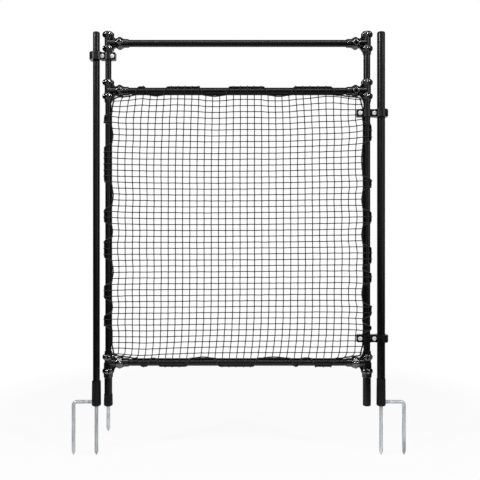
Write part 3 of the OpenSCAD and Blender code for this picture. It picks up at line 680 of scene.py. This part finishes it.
def value_at(line, u):
    """Value at u of a line through the given points."""
    for (u0, a), (u1, b) in zip(line, line[1:]):
        if u <= u1:
            return a + (b - a) * (u - u0) / (u1 - u0)
    return line[-1][1]


def settled(shift, stiffness, drift):
    """The inside of the net at rest, with its edge nodes held where they are in shift."""
    along = np.array([stiffness, 1.0, 1.0])
    across = np.array([1.0, 1.0, stiffness])
    for _ in range(RELAX_ROUNDS):
        pulls = (along * (shift[:-2, 1:-1] + shift[2:, 1:-1])
                 + across * (shift[1:-1, :-2] + shift[1:-1, 2:]))
        shift[1:-1, 1:-1] = pulls / (2 * (along + across)) - drift
    return shift


def relaxed_grid():
    """Node places of the net, from how it was hung and from the pull of the weave."""
    place = np.zeros((COLUMNS + 1, ROWS + 1, 3))
    xs = np.linspace(GRID_X0, GRID_X1, COLUMNS + 1)
    zs = np.linspace(GRID_Z0, GRID_Z1, ROWS + 1)
    place[:, :, 0] = xs[:, None]
    place[:, :, 2] = zs[None, :]
    hung = np.zeros_like(place)
    pulled = np.zeros_like(place)
    for j in range(1, ROWS):
        for i, side, moves in ((0, LATCH, LATCH_ROWS), (COLUMNS, HINGE, HINGE_ROWS)):
            hung[i, j, 2] = value_at(moves, j / ROWS)
            s = float(zs[j] + hung[i, j, 2]) - BOTTOM_Z
            hold = hem_pull(side, clamp(s, HEM_CORNER, SIDE_H - HEM_CORNER))
            pulled[i, j, :2] = hold.x - xs[i], hold.y
    # The top's lean is part of how the net was hung, the bottom's is a pull of the weave
    for i in range(1, COLUMNS):
        for j, side, leans, rises, leaning in ((0, BOTTOM, BOTTOM_LEAN, BOTTOM_RISE, pulled),
                                               (ROWS, TOP, TOP_LEAN, TOP_RISE, hung)):
            lean = value_at(leans, i / COLUMNS)
            leaning[i, j, 0] = lean
            hung[i, j, 2] = value_at(rises, i / COLUMNS)
            s = float(xs[i] + lean) - LATCH_X
            hold = hem_pull(side, clamp(s, HEM_CORNER, SIDE_W - HEM_CORNER))
            pulled[i, j, 1:] = hold.y, hold.z - zs[j]
    place += (settled(hung, HUNG_STIFFNESS, HUNG_DRIFT)
              + settled(pulled, PULL_STIFFNESS, 0))
    for i in range(1, COLUMNS):
        for j in range(1, ROWS):
            jitter = noise.noise_vector(Vector((i * JITTER_X, j * JITTER_Z, JITTER_SEED)))
            place[i, j] += np.array((jitter.x, jitter.y, jitter.z)) * JITTER
    low_x, high_x = LATCH_X + HEM_CORNER, HINGE_X - HEM_CORNER
    low_z, high_z = BOTTOM_Z + HEM_CORNER, TOP_Z - HEM_CORNER
    place[:, (0, -1), 0] = np.clip(place[:, (0, -1), 0], low_x, high_x)
    place[(0, -1), :, 2] = np.clip(place[(0, -1), :, 2], low_z, high_z)
    return [[Vector(place[i, j]) for j in range(ROWS + 1)] for i in range(COLUMNS + 1)]


GRID = relaxed_grid()

# A strand leaves the net for the tube at least this share of the tube's radius from its axis
WRAP_STEPS, WRAP_LEAST = 7, 1.05
# Strands swell to a knot within KNOT_REACH, and waver and thin between two knots
KNOT_REACH, KNOT_SHARE = 0.0019, 0.4
WAVER, WAVER_SCALE, STRAND_THIN = 0.0006, 60, 0.94


def wrap(side, line, axis, value, from_point):
    """The end of a strand, from the net over the front of the tube to the cord."""
    end = cord_at(line, axis, value)
    s = (end - side.start).dot(side.along)
    turn = side.turn(s)
    radius = side.tube_r + STRAND_R
    away = max((from_point - side.start).dot(side.inward), radius * WRAP_LEAST)
    lift = math.acos(radius / away)
    if turn <= lift:
        return [end]
    return [side.point(s, radius + CORD_R * smooth_step(2 * k / WRAP_STEPS - 1),
                       lift + (turn - lift) * k / WRAP_STEPS)
            for k in range(WRAP_STEPS)] + [end]


def strand_rings(points, knots):
    """Rings along a strand with a thicker knot at each crossing."""
    curve, radii = [], []
    for k, (a, b) in enumerate(zip(points, points[1:])):
        span = (b - a).length
        ease = min(KNOT_REACH / span, KNOT_SHARE) if span else 0
        at_knot, next_knot = k in knots, k + 1 in knots
        curve.append(a)
        radii.append(KNOT_R if at_knot else STRAND_R)
        if at_knot:
            curve.append(a.lerp(b, ease))
            radii.append(STRAND_R)
        if at_knot or next_knot:
            waver = Vector(noise.noise_vector(a * WAVER_SCALE)) * WAVER
            curve.append(a.lerp(b, 0.5) + Vector((waver.x, 0, waver.z)))
            radii.append(STRAND_R * STRAND_THIN)
        if next_knot:
            curve.append(a.lerp(b, 1 - ease))
            radii.append(STRAND_R)
    curve.append(points[-1])
    radii.append(STRAND_R)
    return curve, radii


net_skin = Skin()
strand_ends = []


def add_strand(start, inside, end):
    """One strand of the net with its knots, wrapped round the tubes at both ends."""
    points = start[::-1] + inside + end
    knots = range(len(start), len(start) + len(inside))
    net_skin.tube(*strand_rings(points, knots), STRAND_SIDES)
    strand_ends.extend((points[0], points[-1]))


for j in range(1, ROWS):
    add_strand(wrap(LATCH, LATCH_LINE, 2, GRID[0][j].z, GRID[1][j]),
               [GRID[i][j] for i in range(1, COLUMNS)],
               wrap(HINGE, HINGE_LINE, 2, GRID[COLUMNS][j].z, GRID[COLUMNS - 1][j]))
for i in range(1, COLUMNS):
    add_strand(wrap(BOTTOM, BOTTOM_LINE, 0, GRID[i][0].x, GRID[i][1]),
               GRID[i][1:ROWS],
               wrap(TOP, TOP_LINE, 0, GRID[i][ROWS].x, GRID[i][ROWS - 1]))

# Where the cord lies on the outer side, the net's own edge lies gathered on the inner side,
# and between two turns it bows off the cord
GATHER_R, GATHER_SIDES = 0.00155, 10
GATHER_STEP, GATHER_PITCH = 0.0012, 0.008
# It rests on the tube slightly to the front, pressed in, and thins towards its ends
GATHER_TURN, GATHER_PRESS, GATHER_END = math.radians(16), 0.9, 0.7
# In the inner spans the edge is turned with the cord, but less far
EDGE_TURN_SHARE = 0.5


def gather_shape(i, angle):
    """Two strands wound round each other."""
    wound = 2 * math.pi * i * GATHER_STEP / GATHER_PITCH
    return rounded_lays(2 * (angle + wound), GATHER_GROOVE)


for side in (LATCH, HINGE, BOTTOM, TOP):
    for first, last in side.shares:
        begin = first * side.length - WEAVE_TURN / 2
        end = last * side.length + WEAVE_TURN / 2
        count = round((end - begin) / GATHER_STEP)
        path, radii = [], []
        for k in range(count + 1):
            s = begin + (end - begin) * k / count
            ease = min(k, count - k) / count * (end - begin) / WEAVE_TURN
            path.append(side.point(s, side.tube_r + GATHER_R * GATHER_PRESS,
                                   GATHER_TURN * smooth_step(2 * ease)))
            radii.append(GATHER_R * (GATHER_END + (1 - GATHER_END) * smooth_step(3 * ease)))
        net_skin.tube(path, radii, GATHER_SIDES, shape=gather_shape)
    for first, last in side.inner_spans():
        count = round((last - first) / SIDE_STEP)
        spots = [first + (last - first) * k / count for k in range(count + 1)]
        path = [side.point(s, side.cord_r + side.bow(s), side.turn(s) * EDGE_TURN_SHARE)
                for s in spots]
        net_skin.tube(path, [STRAND_R] * len(path), STRAND_SIDES)

# A turn of twine round the cord where each strand meets it
HITCH_R = CORD_R + STRAND_R * 0.5
HITCH_STEPS, HITCH_SIDES = 10, 5
# Any direction that the cord never takes
ASKEW = Vector((0.3, 0.9, 0.2))
for centre in strand_ends:
    near = min(range(len(cord_points)), key=lambda k: (cord_points[k] - centre).length_squared)
    ahead = cord_points[(near + 1) % len(cord_points)] - cord_points[near - 1]
    ahead.normalize()
    u = ahead.cross(ASKEW).normalized()
    v = ahead.cross(u)
    angles = [2 * math.pi * k / HITCH_STEPS for k in range(HITCH_STEPS)]
    ring = [cord_points[near] + HITCH_R * (math.cos(a) * u + math.sin(a) * v) for a in angles]
    net_skin.tube(ring, [STRAND_R] * HITCH_STEPS, HITCH_SIDES, closed=True)

net = net_skin.build("knotless_net", MATERIALS["net_twine"])
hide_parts("net")
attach(net, "gate")

# ---------------------------------------------------------------- stage and light

# The floor is a disc a little below the spikes' tips. It fades into the white between two
# distances from its middle.
FLOOR_R, FLOOR_SIDES = 1.05, 96
FADE_FROM, FADE_TO = 0.75, FLOOR_R * 0.95
FLOOR_Y, FLOOR_GAP = 0.45, 0.0005
FADE_LEVELS = (0.9, 1.0)
# How much of the white backdrop mirrors see, from 0 beside the object to 1 behind it
BACKDROP_SIDE, BACKDROP_EDGES = (0, 1, 0), (0.3, 0.9)
# Strength of the fill for diffuse light and in mirrors, which see the dark front of the studio
FILL_LEVELS = (0.22, 0.004)
# Name, place, target, width and height in metres, power in watts
LAMPS = [("key_right", (2.9, -2.5, 1.1), (2.9, 0, 1.1), (3.8, 2.0), 22),
         ("key_left", (-0.75, -2.5, 1.2), (-0.75, 0, 1.2), (1.8, 1.8), 5),
         ("overhead", (-0.4, -1.8, 3.0), (-0.38, 0, 0.5), (2.4, 0.35), 30),
         ("sparkle_right", (3.0, -2.5, 3.0), (-0.35, 0, 0.6), (0.5, 0.5), 75),
         ("sparkle_left", (-3.4, -2.3, 2.6), (-0.35, 0, 0.6), (0.5, 0.5), 75)]


def floor_disc():
    """Round floor, large enough for the shadow of the object."""
    angles = [2 * math.pi * k / FLOOR_SIDES for k in range(FLOOR_SIDES)]
    ring = [(FLOOR_R * math.cos(a), FLOOR_R * math.sin(a), 0) for a in angles]
    mesh = bpy.data.meshes.new("floor")
    mesh.from_pydata(ring, [], [tuple(range(FLOOR_SIDES))])
    obj = bpy.data.objects.new("floor", mesh)
    obj.location = ((CAD_LOW.x + CAD_HIGH.x) / 2, FLOOR_Y, CAD_LOW.z - FLOOR_GAP)
    bpy.context.scene.collection.objects.link(obj)
    return obj


def floor_material():
    """Pale floor that shows the object's shadow and fades into the white round it."""
    s = Shader("floor", (0.9, 0.9, 0.9), 0.9, specular=0.1)
    glow = s.add("ShaderNodeEmission", Strength=1.0)
    path = s.add("ShaderNodeLightPath")
    coords = s.add("ShaderNodeTexCoord")
    away = s.add("ShaderNodeVectorMath", operation="LENGTH")
    s.link(coords.outputs["Object"], away.inputs[0])
    fade = s.range(away.outputs["Value"], *FADE_LEVELS, (FADE_FROM, FADE_TO))
    lift = s.add("ShaderNodeMath", operation="MULTIPLY")
    s.link(path.outputs["Is Camera Ray"], lift.inputs[0])
    s.link(fade, lift.inputs[1])
    mix = s.add("ShaderNodeMixShader")
    s.link(lift.outputs[0], mix.inputs[0])
    s.link(s.bsdf.outputs[0], mix.inputs[1])
    s.link(glow.outputs[0], mix.inputs[2])
    s.link(mix.outputs[0], s.tree.nodes["Material Output"].inputs[0])
    return s.material


def studio_world():
    """White to the camera, white behind the object in mirrors, and a soft fill elsewhere."""
    world = bpy.data.worlds.new("studio")
    world.use_nodes = True
    tree = world.node_tree
    link = tree.links.new

    def maths(operation, a, b):
        node = add_node(tree, "ShaderNodeMath", operation=operation)
        link(a, node.inputs[0])
        link(b, node.inputs[1])
        return node.outputs[0]

    rays = add_node(tree, "ShaderNodeLightPath").outputs
    coords = add_node(tree, "ShaderNodeTexCoord")
    facing = add_node(tree, "ShaderNodeVectorMath", operation="DOT_PRODUCT")
    facing.inputs[1].default_value = BACKDROP_SIDE
    link(coords.outputs["Generated"], facing.inputs[0])
    behind = add_range(tree, facing.outputs["Value"], BACKDROP_EDGES, (0, 1))
    mirror = maths("MAXIMUM", rays["Is Glossy Ray"], rays["Is Transmission Ray"])
    shown = maths("MAXIMUM", rays["Is Camera Ray"], maths("MULTIPLY", mirror, behind))

    fill = tree.nodes["Background"]
    fill.inputs["Color"].default_value = (1, 1, 1, 1)
    link(add_range(tree, mirror, (0, 1), FILL_LEVELS), fill.inputs["Strength"])
    white = add_node(tree, "ShaderNodeBackground", Color=(1, 1, 1, 1), Strength=1.0)
    blend = add_node(tree, "ShaderNodeMixShader")
    link(shown, blend.inputs[0])
    link(fill.outputs[0], blend.inputs[1])
    link(white.outputs[0], blend.inputs[2])
    link(blend.outputs[0], tree.nodes["World Output"].inputs[0])
    return world


def soft_box(name, location, target, size, power):
    """Rectangular lamp that faces its target."""
    data = bpy.data.lights.new(name, "AREA")
    data.shape = "RECTANGLE"
    data.size, data.size_y = size
    data.energy = power
    obj = bpy.data.objects.new(name, data)
    obj.location = location
    aim = Vector(target) - Vector(location)
    obj.rotation_euler = aim.to_track_quat("-Z", "Y").to_euler()
    bpy.context.scene.collection.objects.link(obj)


floor = floor_disc()
floor.data.materials.append(floor_material())

bpy.context.scene.world = studio_world()
for lamp in LAMPS:
    soft_box(*lamp)

bpy.context.scene.view_settings.view_transform = "Standard"
